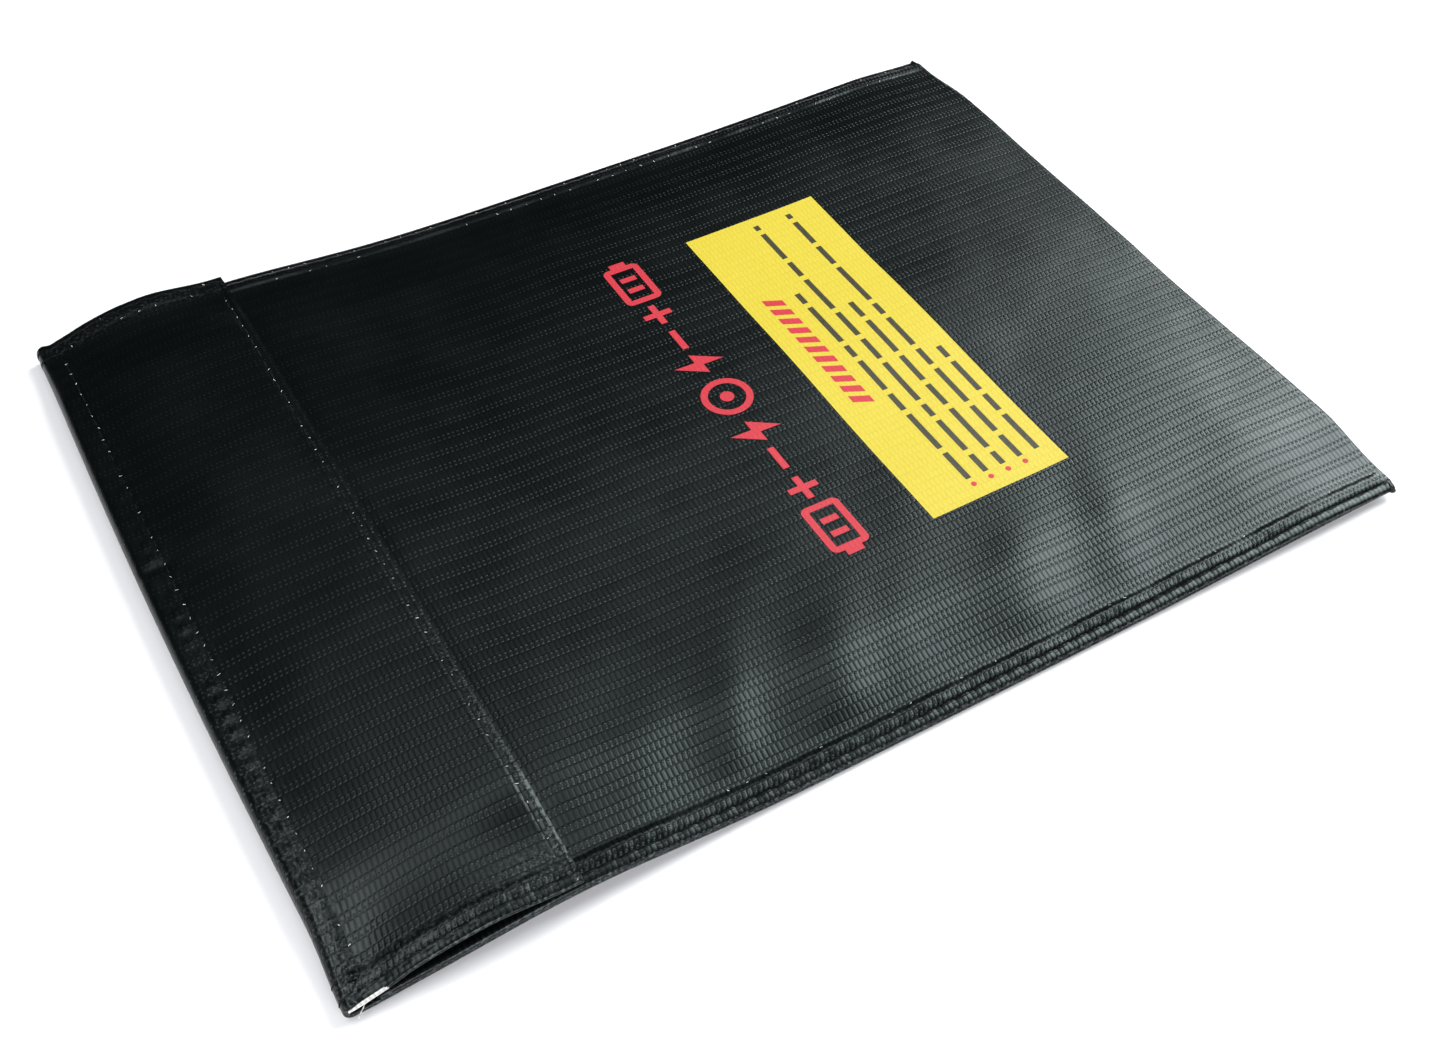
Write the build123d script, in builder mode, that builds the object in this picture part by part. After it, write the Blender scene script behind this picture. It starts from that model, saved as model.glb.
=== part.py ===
from build123d import *

import os

# Fire-resistant pouch for lithium batteries: a flat sewn bag of coated glass cloth with a fold-over flap.
#
# Row frame, millimetres: the bag lies flat on its back wall. +X runs from the flap fold to the closed end,
# +Y from the near side seam to the far one, +Z up. The origin is the middle of the resting face.
#
# Four rigid groups stand for the soft bag:
#     bag         back wall, closed-end fold and both side seams
#     fold        the strip of cloth that turns up at the mouth end and carries the flap
#     flap        the closing flap with its hook tape
#     front_wall  the front wall with its loop tape and print, which lifts at the mouth

# ---- driving dimensions ----
LENGTH = 300.0  # flap fold to closed end
WIDTH = 230.0  # outer edge to outer edge across the side seams
CLOTH = 0.7  # coated glass cloth
LINER = 0.3  # bare glass cloth liner
PLY_GAP = 0.05  # air between plies that lie on each other
POCKET = 4.6  # free height between the two liners
FLAP_REACH = 55.5  # flap fold to the flap's free edge
SEAM = 8.0  # width of the sewn side seam
SEAM_GAP = 0.7  # air between the seam and the wall that lifts beside it
MOUTH_SETBACK = 7.0  # flap fold to the front wall's mouth edge
CORNER = 2.0  # rounding of the cloth's free corners
SETBACK = 1.0  # how far an inner ply stops short of the outer cloth's end
END_GAP = 0.5  # air between the front wall and the closed end's fold, so that the wall can turn

# ---- hook and loop tape ----
HOOK_WIDTH = 50.0
LOOP_WIDTH = 38.0
TAPE_BACKING = 0.5
HOOK_HEIGHT = 0.7
LOOP_PILE = 0.9
SELVEDGE = 3.0  # plain border of the tape where it is sewn
TAPE_GAP = 0.1  # air between hooks and loops when closed
HOOK_START = 4.8  # flap fold to the hook tape
LOOP_START = 16.0  # flap fold to the loop tape

# ---- sewing ----
PITCH = 5.0  # one stitch
STITCH = 4.2  # length of thread that shows
THREAD_WIDTH = 0.5
THREAD_HEIGHT = 0.25
GROOVE_DEPTH = 0.3  # bobbin thread lies below the cloth's outer face
GROOVE_WIDTH = 0.8
OUTER_ROW = 2.3  # side edge to the outer row
INNER_ROW = 6.5  # side edge to the inner row
TAPE_ROW = 1.75  # tape edge to its stitch row
TAPE_INSET = 3.0  # side seam to the tapes' ends
MOUTH_HEM = 9.0  # depth of the turned-in mouth edge
MOUTH_ROW = 5.5  # mouth edge to its stitch row

# ---- print ----
INK = 0.1
PANEL_LENGTH = 130.0  # along Y
PANEL_WIDTH = 44.0  # along X
PANEL_X = 54.6
PANEL_Y = 1.1
MARKS_X = 9.4  # middle of the row of red marks
MARKS_Y = 2.0
MARK_HEIGHT = 14.6
MARK_STROKE = 2.0
BOLT_Y = 15.4  # each mark's distance from the middle of its row
MINUS_Y = 27.0
PLUS_Y = 39.4
CELL_Y = 54.8
SIGN = 8.6  # length of a plus or minus
CELL_LENGTH = 17.4  # battery outline
CELL_HEIGHT = 11.4
TERMINAL = 5.0  # length of the battery's terminal and of the bars in it
HEADING_X = 41.1  # middle of the slanted stripes at the head of the panel
HEADING_Y = 6.1
HEADING_HEIGHT = 5.4
HEADING_STRIPES = 11
STRIPE = 2.6
STRIPE_PITCH = 4.6
STRIPE_LEAN = 1.3  # how far a stripe's ends lean to each side
BAR = 1.7  # dark bars on the panel, one row for each line
BAR_ROW = 5.65  # from row to row
BAR_GAP = 2.2  # between the bars of a row
BAR_LENGTHS = (11.0, 15.0, 7.0, 13.0, 5.0, 17.0, 9.0)
BAR_ROW_LENGTHS = (86.0, 119.0, 75.0, 119.0, 48.0)
BAR_START_Y = -56.7
BULLET = 1.6
BULLET_Y = -59.0

# ---- heights of the stack, from the resting face up ----
BACK_LINER_Z = CLOTH + PLY_GAP
POCKET_Z = BACK_LINER_Z + LINER
FRONT_LINER_Z = POCKET_Z + POCKET
FRONT_Z = FRONT_LINER_Z + LINER + PLY_GAP
FRONT_TOP = FRONT_Z + CLOTH
HOOK_Z = FRONT_TOP + TAPE_BACKING + LOOP_PILE + TAPE_GAP
FLAP_LINER_Z = HOOK_Z + HOOK_HEIGHT + TAPE_BACKING + PLY_GAP
FLAP_Z = FLAP_LINER_Z + LINER + PLY_GAP
FLAP_TOP = FLAP_Z + CLOTH
HEM_Z = CLOTH + PLY_GAP
MARGIN_Z = HEM_Z + 2 * CLOTH + PLY_GAP
MARGIN_TOP = MARGIN_Z + CLOTH

# ---- places along X ----
FOLD_X = -LENGTH / 2  # outer face of the flap fold
HINGE_X = FOLD_X + CLOTH  # both flap creases, on the cloth's inner face
END_RADIUS = FRONT_TOP / 2  # outer radius of the closed end
END_X = LENGTH / 2 - END_RADIUS  # its centre, and the axis that the front wall lifts about
HEM_X = HINGE_X + LINER + 4 * PLY_GAP  # the seam's hems clear the fold's liner
FLAP_EDGE_X = FOLD_X + FLAP_REACH
MOUTH_X = FOLD_X + MOUTH_SETBACK
HOOK_X = FOLD_X + HOOK_START
LOOP_X = FOLD_X + LOOP_START
WALL_END_X = END_X - END_GAP

# ---- places across Y ----
EDGE_Y = WIDTH / 2
SEAM_Y = EDGE_Y - SEAM  # inner side of the sewn seam
WALL_Y = SEAM_Y - SEAM_GAP  # half width of the wall that lifts
TAPE_Y = SEAM_Y - TAPE_INSET  # half length of both tapes
LINER_Y = EDGE_Y - SETBACK / 2  # half width of the flap's liner
ROWS_Y = (EDGE_Y - OUTER_ROW, EDGE_Y - INNER_ROW)
SIDES = {"near": -1, "far": 1}

SEAM_STITCHES = 57
FLAP_STITCHES = 41
FLAP_SIDE_STITCHES = 10

os.makedirs("parts", exist_ok=True)


def finish(part, name):
    """Labels a finished piece and writes its STEP file."""
    part.label = name
    export_step(part, "parts/" + name + ".step")


def free_corners(edges):
    """The two upright edges at the end of a ply that lies furthest along +X."""
    return edges.group_by(Axis.X)[-1]


def plate(x0, x1, y0, y1, z, thickness, round_edges=None):
    """A flat ply between two corners. round_edges picks the upright edges whose corners are rounded."""
    with BuildPart() as ply:
        with BuildSketch(Plane.XY.offset(z)):
            with Locations(((x0 + x1) / 2, (y0 + y1) / 2)):
                Rectangle(x1 - x0, y1 - y0)
        extrude(amount=thickness)
        if round_edges:
            fillet(round_edges(ply.edges().filter_by(Axis.Z)), CORNER)
    return ply.part


def rows_along_x(x_middle, count, rows_y, z):
    """Stitches in rows that run along X, each lying on height z."""
    with BuildPart() as thread:
        with BuildSketch(Plane.XY.offset(z)):
            for row_y in rows_y:
                with Locations((x_middle, row_y)):
                    with GridLocations(PITCH, 1, count, 1):
                        SlotOverall(STITCH, THREAD_WIDTH)
        extrude(amount=THREAD_HEIGHT)
    return thread.part


def rows_along_y(rows_x, count, z):
    """Stitches in rows that run along Y, each lying on height z."""
    with BuildPart() as thread:
        with BuildSketch(Plane.XY.offset(z)):
            for row_x in rows_x:
                with Locations((row_x, 0)):
                    with GridLocations(1, PITCH, 1, count):
                        SlotOverall(STITCH, THREAD_WIDTH, rotation=90)
        extrude(amount=THREAD_HEIGHT)
    return thread.part


# ---- bag: back wall and closed end ----
with BuildPart() as back_cloth:
    with BuildSketch(Plane.XZ) as profile:
        with Locations(((HINGE_X + END_X) / 2, CLOTH / 2)):
            Rectangle(END_X - HINGE_X, CLOTH)
        with Locations((END_X, END_RADIUS)):
            Circle(END_RADIUS)
            Circle(END_RADIUS - CLOTH, mode=Mode.SUBTRACT)
        with Locations((END_X - END_RADIUS / 2, END_RADIUS + CLOTH / 2)):
            Rectangle(END_RADIUS, FRONT_TOP - CLOTH, mode=Mode.SUBTRACT)
    extrude(amount=EDGE_Y, both=True)
    with BuildSketch(Plane.XY) as grooves:
        for side in SIDES.values():
            for row in ROWS_Y:
                with Locations((0, side * row)):
                    Rectangle(PITCH * SEAM_STITCHES + 1, GROOVE_WIDTH)
    extrude(amount=GROOVE_DEPTH, mode=Mode.SUBTRACT)
finish(back_cloth.part, "back_cloth")

finish(plate(HINGE_X + 2 * SETBACK, END_X, -WALL_Y, WALL_Y, BACK_LINER_Z, LINER), "back_liner")

# ---- bag: side seams, each with its turned-in plies, front margin and two rows of lockstitch ----
for name, side in SIDES.items():
    inner, outer = sorted((side * SEAM_Y, side * EDGE_Y))
    finish(plate(HEM_X, END_X - SETBACK, inner, outer, HEM_Z, 2 * CLOTH), name + "_seam_hem")
    finish(plate(MOUTH_X, END_X - SETBACK, inner, outer, MARGIN_Z, CLOTH), name + "_front_margin")
    seam_rows = [side * row for row in ROWS_Y]
    finish(rows_along_x(0, SEAM_STITCHES - 1, seam_rows, MARGIN_TOP), name + "_seam_needle_thread")
    bobbin_z = GROOVE_DEPTH - THREAD_HEIGHT
    finish(rows_along_x(0, SEAM_STITCHES, seam_rows, bobbin_z), name + "_seam_bobbin_thread")

# ---- fold: the upright strip between the back wall and the flap ----
with BuildPart() as fold_cloth:
    with BuildSketch(Plane.XY.offset(CLOTH + PLY_GAP)):
        with Locations((FOLD_X + CLOTH / 2, 0)):
            Rectangle(CLOTH, WIDTH)
        for side in SIDES.values():
            for row in ROWS_Y:
                with Locations((FOLD_X, side * row)):
                    Rectangle(2 * GROOVE_DEPTH, GROOVE_WIDTH, mode=Mode.SUBTRACT)
    extrude(amount=FLAP_Z - CLOTH - 2 * PLY_GAP)
finish(fold_cloth.part, "fold_cloth")

with BuildPart() as fold_liner:
    with BuildSketch(Plane.XY.offset(POCKET_Z + PLY_GAP)):
        with Locations((HINGE_X + PLY_GAP + LINER / 2, 0)):
            Rectangle(LINER, 2 * LINER_Y)
    extrude(amount=FLAP_LINER_Z - POCKET_Z - 2 * PLY_GAP)
finish(fold_liner.part, "fold_liner")

with BuildPart() as fold_thread:
    with BuildSketch(Plane.YZ.offset(FOLD_X + GROOVE_DEPTH - THREAD_HEIGHT)):
        for side in SIDES.values():
            for row in ROWS_Y:
                with Locations((side * row, (CLOTH + FLAP_Z) / 2)):
                    SlotOverall(STITCH, THREAD_WIDTH, rotation=90)
    extrude(amount=THREAD_HEIGHT)
finish(fold_thread.part, "fold_side_thread")

# ---- flap: outer ply, liner, side hems, hook tape and its sewing ----
flap_x = (HINGE_X, FLAP_EDGE_X)
finish(plate(*flap_x, -EDGE_Y, EDGE_Y, FLAP_Z, CLOTH, free_corners), "flap_cloth")
flap_liner_x = (HINGE_X + PLY_GAP, FLAP_EDGE_X - SETBACK)
finish(plate(*flap_liner_x, -LINER_Y, LINER_Y, FLAP_LINER_Z, LINER), "flap_liner")
flap_hem_z = FLAP_LINER_Z - PLY_GAP - CLOTH
for name, side in SIDES.items():
    inner, outer = sorted((side * SEAM_Y, side * EDGE_Y))
    hem = plate(HINGE_X + SETBACK, FLAP_EDGE_X - SETBACK, inner, outer, flap_hem_z, CLOTH)
    finish(hem, "flap_" + name + "_hem")

with BuildPart() as hook_tape:
    hook_middle = HOOK_X + HOOK_WIDTH / 2
    with BuildSketch(Plane.XY.offset(HOOK_Z + HOOK_HEIGHT)):
        with Locations((hook_middle, 0)):
            Rectangle(HOOK_WIDTH, 2 * TAPE_Y)
    extrude(amount=TAPE_BACKING)
    with BuildSketch(Plane.XY.offset(HOOK_Z)):
        with Locations((hook_middle, 0)):
            Rectangle(HOOK_WIDTH - 2 * SELVEDGE, 2 * TAPE_Y)
    extrude(amount=HOOK_HEIGHT)
finish(hook_tape.part, "hook_tape")

hook_rows = (HOOK_X + TAPE_ROW, HOOK_X + HOOK_WIDTH - TAPE_ROW)
flap_side_rows = [side * row for side in SIDES.values() for row in ROWS_Y]
flap_middle = (HINGE_X + FLAP_EDGE_X) / 2
hook_bobbin_z = HOOK_Z + HOOK_HEIGHT - THREAD_HEIGHT
side_bobbin_z = flap_hem_z - THREAD_HEIGHT
finish(rows_along_y(hook_rows, FLAP_STITCHES, FLAP_TOP), "flap_tape_needle_thread")
finish(rows_along_y(hook_rows, FLAP_STITCHES, hook_bobbin_z), "flap_tape_bobbin_thread")
for layer, z in {"needle": FLAP_TOP, "bobbin": side_bobbin_z}.items():
    stitches = rows_along_x(flap_middle, FLAP_SIDE_STITCHES, flap_side_rows, z)
    finish(stitches, "flap_side_" + layer + "_thread")

# ---- front wall: outer ply, liner, turned-in mouth edge, loop tape and its sewing ----
finish(plate(MOUTH_X, WALL_END_X, -WALL_Y, WALL_Y, FRONT_Z, CLOTH), "front_cloth")
liner_y = WALL_Y - SETBACK
liner_x = (MOUTH_X + SETBACK, WALL_END_X - 4 * SETBACK)
finish(plate(*liner_x, -liner_y, liner_y, FRONT_LINER_Z, LINER), "front_liner")
mouth_hem_z = FRONT_LINER_Z - PLY_GAP - CLOTH
finish(plate(MOUTH_X, MOUTH_X + MOUTH_HEM, -WALL_Y, WALL_Y, mouth_hem_z, CLOTH), "mouth_hem")
mouth_rows = (MOUTH_X + MOUTH_ROW,)
mouth_bobbin_z = mouth_hem_z - THREAD_HEIGHT
finish(rows_along_y(mouth_rows, FLAP_STITCHES, FRONT_TOP), "mouth_needle_thread")
finish(rows_along_y(mouth_rows, FLAP_STITCHES, mouth_bobbin_z), "mouth_bobbin_thread")

with BuildPart() as loop_tape:
    loop_middle = LOOP_X + LOOP_WIDTH / 2
    with BuildSketch(Plane.XY.offset(FRONT_TOP)):
        with Locations((loop_middle, 0)):
            Rectangle(LOOP_WIDTH, 2 * TAPE_Y)
    extrude(amount=TAPE_BACKING)
    with BuildSketch(Plane.XY.offset(FRONT_TOP + TAPE_BACKING)):
        with Locations((loop_middle, 0)):
            Rectangle(LOOP_WIDTH - 2 * SELVEDGE, 2 * TAPE_Y)
    extrude(amount=LOOP_PILE)
finish(loop_tape.part, "loop_tape")

loop_rows = (LOOP_X + TAPE_ROW, LOOP_X + LOOP_WIDTH - TAPE_ROW)
finish(rows_along_y(loop_rows, FLAP_STITCHES, FRONT_TOP + TAPE_BACKING), "loop_tape_needle_thread")
finish(rows_along_y(loop_rows, FLAP_STITCHES, FRONT_LINER_Z - THREAD_HEIGHT), "loop_tape_bobbin_thread")

# ---- print on the front wall ----
# It reads from the near side to the far one, with its top towards the flap.
def print_plane(x, y, z):
    """A plane on the front wall whose own x runs along +Y and whose own y runs towards the flap."""
    return Plane(origin=(x, y, z), x_dir=(0, 1, 0), z_dir=(0, 0, 1))


with BuildPart() as print_panel:
    with BuildSketch(print_plane(PANEL_X, PANEL_Y, FRONT_TOP)):
        Rectangle(PANEL_LENGTH, PANEL_WIDTH)
    extrude(amount=INK)
finish(print_panel.part, "print_panel")

with BuildPart() as print_bars:
    for row, row_length in enumerate(BAR_ROW_LENGTHS):
        row_x = PANEL_X + (row - 1) * BAR_ROW
        with BuildSketch(print_plane(row_x, BAR_START_Y, FRONT_TOP + INK)):
            start = 0.0
            index = 2 * row
            while start < row_length:
                length = min(BAR_LENGTHS[index % len(BAR_LENGTHS)], row_length - start)
                with Locations((start + length / 2, 0)):
                    Rectangle(length, BAR)
                start += length + BAR_GAP
                index += 1
        extrude(amount=INK)
finish(print_bars.part, "print_bars")

with BuildPart() as print_bullets:
    with BuildSketch(print_plane(PANEL_X + BAR_ROW / 2, BULLET_Y, FRONT_TOP + INK)):
        with GridLocations(1, BAR_ROW, 1, 4):
            Circle(BULLET / 2)
    extrude(amount=INK)
finish(print_bullets.part, "print_bullets")

with BuildPart() as print_heading:
    with BuildSketch(print_plane(HEADING_X, HEADING_Y, FRONT_TOP + INK)):
        with GridLocations(STRIPE_PITCH, 1, HEADING_STRIPES, 1):
            Polygon(
                (-STRIPE / 2 - STRIPE_LEAN, -HEADING_HEIGHT / 2),
                (STRIPE / 2 - STRIPE_LEAN, -HEADING_HEIGHT / 2),
                (STRIPE / 2 + STRIPE_LEAN, HEADING_HEIGHT / 2),
                (-STRIPE / 2 + STRIPE_LEAN, HEADING_HEIGHT / 2),
                align=None,
            )
    extrude(amount=INK)
finish(print_heading.part, "print_heading")

# a ring in the middle, and on each side a bolt, a minus, a plus and a battery outline
with BuildPart() as print_marks:
    with BuildSketch(print_plane(MARKS_X, MARKS_Y, FRONT_TOP)):
        Circle(MARK_HEIGHT / 2)
        Circle(MARK_HEIGHT / 2 - MARK_STROKE, mode=Mode.SUBTRACT)
        Circle(MARK_STROKE)
        with Locations((-BOLT_Y, 0), (BOLT_Y, 0)):
            Polygon(
                (1.0, MARK_HEIGHT / 2),
                (-4.5, -1.0),
                (-0.8, -1.0),
                (-1.0, -MARK_HEIGHT / 2),
                (4.5, 1.0),
                (0.8, 1.0),
                align=None,
            )
        with Locations((-MINUS_Y, 0), (MINUS_Y, 0), (-PLUS_Y, 0), (PLUS_Y, 0)):
            Rectangle(SIGN, MARK_STROKE)
        with Locations((-PLUS_Y, 0), (PLUS_Y, 0)):
            Rectangle(MARK_STROKE, SIGN)
        for side in SIDES.values():
            with Locations((side * CELL_Y, 0)):
                RectangleRounded(CELL_LENGTH, CELL_HEIGHT, MARK_STROKE)
                Rectangle(CELL_LENGTH - 2 * MARK_STROKE, CELL_HEIGHT - 2 * MARK_STROKE, mode=Mode.SUBTRACT)
                with GridLocations(TERMINAL, 1, 2, 1):
                    Rectangle(MARK_STROKE, TERMINAL)
            with Locations((side * (CELL_Y + CELL_LENGTH / 2 + MARK_STROKE / 2 - INK), 0)):
                Rectangle(MARK_STROKE, TERMINAL)
    extrude(amount=INK)
finish(print_marks.part, "print_marks")
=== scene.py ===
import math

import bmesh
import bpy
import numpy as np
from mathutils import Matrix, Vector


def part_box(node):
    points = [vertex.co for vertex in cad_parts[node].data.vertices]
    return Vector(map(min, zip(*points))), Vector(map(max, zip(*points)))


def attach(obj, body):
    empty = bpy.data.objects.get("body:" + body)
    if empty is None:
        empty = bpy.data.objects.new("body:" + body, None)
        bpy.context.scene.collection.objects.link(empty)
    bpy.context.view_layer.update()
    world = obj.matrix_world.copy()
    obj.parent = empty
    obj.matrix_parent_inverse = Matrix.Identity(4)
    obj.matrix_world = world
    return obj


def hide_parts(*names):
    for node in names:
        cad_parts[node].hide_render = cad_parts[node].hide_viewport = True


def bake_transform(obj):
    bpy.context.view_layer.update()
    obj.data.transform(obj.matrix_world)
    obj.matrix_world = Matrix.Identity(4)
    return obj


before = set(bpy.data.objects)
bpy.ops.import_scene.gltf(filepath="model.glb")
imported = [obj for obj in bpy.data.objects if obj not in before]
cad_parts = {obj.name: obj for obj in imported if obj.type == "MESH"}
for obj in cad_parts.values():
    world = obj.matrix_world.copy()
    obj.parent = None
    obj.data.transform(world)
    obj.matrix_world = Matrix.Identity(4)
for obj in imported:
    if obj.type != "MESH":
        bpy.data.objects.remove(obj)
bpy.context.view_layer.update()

# A flat sewn pouch of black coated glass cloth, lying closed on its back wall. Metres, in the frame's own
# axes: +X from the flap's fold to the closed end, +Y from the near side seam to the far one, +Z up.
#
# Every ply follows a few height functions of (x, y): ground() under the bag, wall() for the front wall and
# flap() for the flap. The plies are closed shells, so an edge shows its real thickness.

MM = 0.001

# ---- places from the frame ----
CLOTH_LO, CLOTH_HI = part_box("flap_cloth")
THICK = CLOTH_HI.z - CLOTH_LO.z
FLAP_END = CLOTH_HI.x
FOLD_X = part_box("fold_cloth")[0].x
END_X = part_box("back_cloth")[1].x
EDGE_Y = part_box("back_cloth")[1].y
SEAM_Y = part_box("far_seam_hem")[0].y
MOUTH_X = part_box("front_cloth")[0].x
MOUTH_HEM_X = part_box("mouth_hem")[1].x
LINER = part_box("flap_liner")[1].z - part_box("flap_liner")[0].z
LOOP_LO, LOOP_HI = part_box("loop_tape")
HOOK_LO, HOOK_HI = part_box("hook_tape")
THREAD_HALF = 0.25 * MM
THREAD_RADIUS = 0.16 * MM
THIN_RADIUS = 0.09 * MM  # the seams' inner rows and the fold's row are pulled tight into the cloth


def row_pair(node, axis):
    """The two outermost stitch rows of a thread node: their places along an axis."""
    low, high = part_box(node)
    return low[axis] + THREAD_HALF, high[axis] - THREAD_HALF


INNER_ROW, OUTER_ROW = row_pair("far_seam_needle_thread", 1)
HOOK_ROWS = row_pair("flap_tape_needle_thread", 0)
LOOP_ROWS = row_pair("loop_tape_needle_thread", 0)
MOUTH_ROW = row_pair("mouth_needle_thread", 0)[0]

# ---- sewing and cloth ----
PITCH = 5 * MM
ROWS_START, ROWS_END = -140 * MM, 147 * MM  # the seams' stitch rows, along X
ROW_HALF = INNER_ROW - 4 * MM  # half the length of the rows that run across the bag
TAPE_BACKING = 0.5 * MM
EDGE_R = THICK + 0.02 * MM  # outer radius of a turned-in edge
SEAM_STACK = 3.3 * MM  # from the underside to the front wall's outer face, at the side seams
PUFF = 1.9 * MM  # how far the wall stands above its seams
PUFF_WIDTH = 24 * MM
SPLIT_X = 136 * MM  # under the bag, where the front's sheet hands over to the back's
FOLD_SPLIT_X = -142 * MM  # under the bag, where the back's sheet hands over to the fold's
SPINE_SHARE = 0.43  # radius of each bend of the fold, for each unit of its height
END_ARC_X = END_X - 2 * MM  # where the closed end starts to turn
PLY_GAP = 0.05 * MM
FOLD_TOP = 7.0 * MM  # height of the flap where it leaves the fold
FOLD_PINCH = 2.2 * MM  # how much lower the fold's two corners are
FLAP_CURL = 0.06  # share of its quarter turn that the free edge of the opened flap stays behind
TAPE_STACK = 3.35 * MM  # loop tape, hooks, hook tape, liner and cloth over the front wall
WEAVE_COLUMN = 1.38  # one bar of the weave, in millimetres along X
WEAVE_ROW = 5.05  # one repeat of the weave, in millimetres along Y

# ridges that fan in from the near seam: place, width and height in millimetres
BUCKLES = (
    (-76, 8, 0.3),
    (-52, 7, 0.8),
    (-22, 11, 1.2),
    (-4, 7, 0.3),
    (33, 12, 1.3),
    (62, 9, 0.7),
    (106, 13, 0.5),
)
BUCKLE_SLANT = 0.5
BUCKLE_REACH = 44 * MM


# ------------------------------------------------------------------ heights
def smooth(t):
    """0 to 1 with level ends."""
    t = np.clip(t, 0, 1)
    return t * t * (3 - 2 * t)


def bell(t):
    return np.exp(-t * t)


def make_waves(seed, count, shortest, longest):
    """Fixed random waves: wave numbers, phase and share of the height for each."""
    rng = np.random.default_rng(seed)
    length = rng.uniform(shortest, longest, count)
    angle = rng.uniform(0, math.pi, count)
    number = 2 * math.pi / length
    share = length / longest / math.sqrt(count)
    return number * np.cos(angle), number * np.sin(angle), rng.uniform(0, 2 * math.pi, count), share


BROAD = make_waves(11, 12, 45 * MM, 110 * MM)
FINE = make_waves(5, 16, 9 * MM, 30 * MM)


def wobble(x, y, waves, height):
    """The gentle unevenness of cloth that has been folded and handled."""
    total = 0 * x + 0 * y
    for kx, ky, phase, share in zip(*waves):
        total = total + share * np.sin(kx * x + ky * y + phase)
    return height * total


def ground(x, y):
    """The bag's underside: it arches under the flap's free edge and lifts at the closed end."""
    near_share = 0.5 - 0.5 * y / EDGE_Y
    near = 4.0 * bell((x + 95 * MM) / (33 * MM)) + 2.2 * smooth((x - 50 * MM) / (98 * MM))
    far = 4.3 * bell((x + 100 * MM) / (40 * MM)) + 1.9 * smooth((x - 50 * MM) / (98 * MM))
    slack = 1 - 0.45 * bell(y / (60 * MM))
    fold = 1 - 0.9 * smooth((-134 * MM - x) / (16 * MM))
    return ((near_share * near + (1 - near_share) * far) * slack * fold + 0.03) * MM


def askew(points):
    """The bag is not cut quite square: its closed end is a little narrower and runs askew."""
    x, y, z = points[..., 0], points[..., 1], points[..., 2]
    share = smooth((x - 20 * MM) / (130 * MM))
    side = y / EDGE_Y
    pull = np.where(side < 0, 1.2, 0.3) * np.clip((x - FOLD_X) / (END_X - FOLD_X), 0, 1)
    moved_x = x + share * (-0.7 + 1.7 * side + 0.7 * (1 - side ** 2)) * MM
    return np.stack([moved_x, y * (1 - pull * MM / EDGE_Y), z], -1)


def buckles(x, y):
    """Ridges that start at the near seam and die away inside the wall."""
    inward = y + INNER_ROW
    fade = smooth(inward / (9 * MM)) * (1 - smooth((inward - 9 * MM) / BUCKLE_REACH))
    total = 0 * x + 0 * y
    for place, width, height in BUCKLES:
        ridge = place * MM + BUCKLE_SLANT * np.clip(inward, 0, None)
        total = total + height * MM * bell((x - ridge) / (width * MM))
    return total * fade


def hole_share(along):
    """1 at a needle hole, 0 midway between two."""
    return (0.5 + 0.5 * np.cos(2 * math.pi * along / PITCH)) ** 2


def stitch_groove(across, along, depth, width):
    """A stitch row pulls the cloth down, most of all at its needle holes."""
    hole = hole_share(along)
    return -depth * (0.35 + 0.65 * hole) * bell(across / (width * (0.8 + 0.5 * hole)))


def seam_relief(x, y, strength=1.0):
    """The two stitch rows of a side seam, the strip that puffs up between them and the lower edge strip."""
    side = np.abs(y)
    near = np.where(y < 0, 1.0, 0.55)
    uneven = 1 + wobble(x, 0 * y, FINE, 0.6)
    scallop = OUTER_ROW - (0.25 + 0.45 * hole_share(x)) * MM * uneven
    between = np.clip((side - INNER_ROW) / (scallop - INNER_ROW), 0, 1)
    pucker = uneven * (1 - 0.45 * hole_share(x) * smooth((between - 0.35) / 0.4))
    pucker = pucker * (1 - 0.6 * hole_share(x + 1.3 * MM) * (1 - smooth(between / 0.5)))
    puff = 0.45 * MM * near * np.sin(math.pi * between ** 0.72) ** 0.85 * pucker
    ends = 1 - smooth((x - END_X + 6 * MM) / (4 * MM))
    rows = stitch_groove(side - INNER_ROW, x + 1.3 * MM, 0.09 * MM, 0.22 * MM)
    rows = rows + near * stitch_groove(side - OUTER_ROW, x, 0.6 * MM, 0.5 * MM)
    step = 0.2 * MM * smooth((side - OUTER_ROW + 0.4 * MM) / (0.6 * MM))
    step = step + 0.24 * np.clip(side - OUTER_ROW, 0, None)
    return strength * ((puff + rows) * ends - step)


def row_puckers(across, along):
    """Small creases that fan out in a V from each needle hole of a row that is pulled tight."""
    away = np.abs(across)
    fan = hole_share(along + 0.5 * away) + hole_share(along - 0.5 * away)
    return 0.09 * MM * bell(away / (3 * MM)) * fan


def wall(x, y, relief=True):
    """Outer face of the front wall."""
    inward = INNER_ROW - np.abs(y)
    rise = smooth(inward / PUFF_WIDTH)
    flat_end = 1 - 0.55 * smooth((x - 118 * MM) / (30 * MM))
    thin_end = 1.2 * MM * smooth((x - 122 * MM) / (25 * MM)) * (1 - rise)
    dip = 0.7 * MM * bell((x - FLAP_END - 0.3 * MM) / (3 * MM)) * rise
    z = ground(x, y) + SEAM_STACK + PUFF * rise * flat_end - thin_end - dip
    z = z + wobble(x, y, BROAD, 0.34 * MM) * rise + wobble(x, y, FINE, 0.05 * MM) * rise + buckles(x, y)
    if relief:
        z = z + seam_relief(x, y)
    return z


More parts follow.
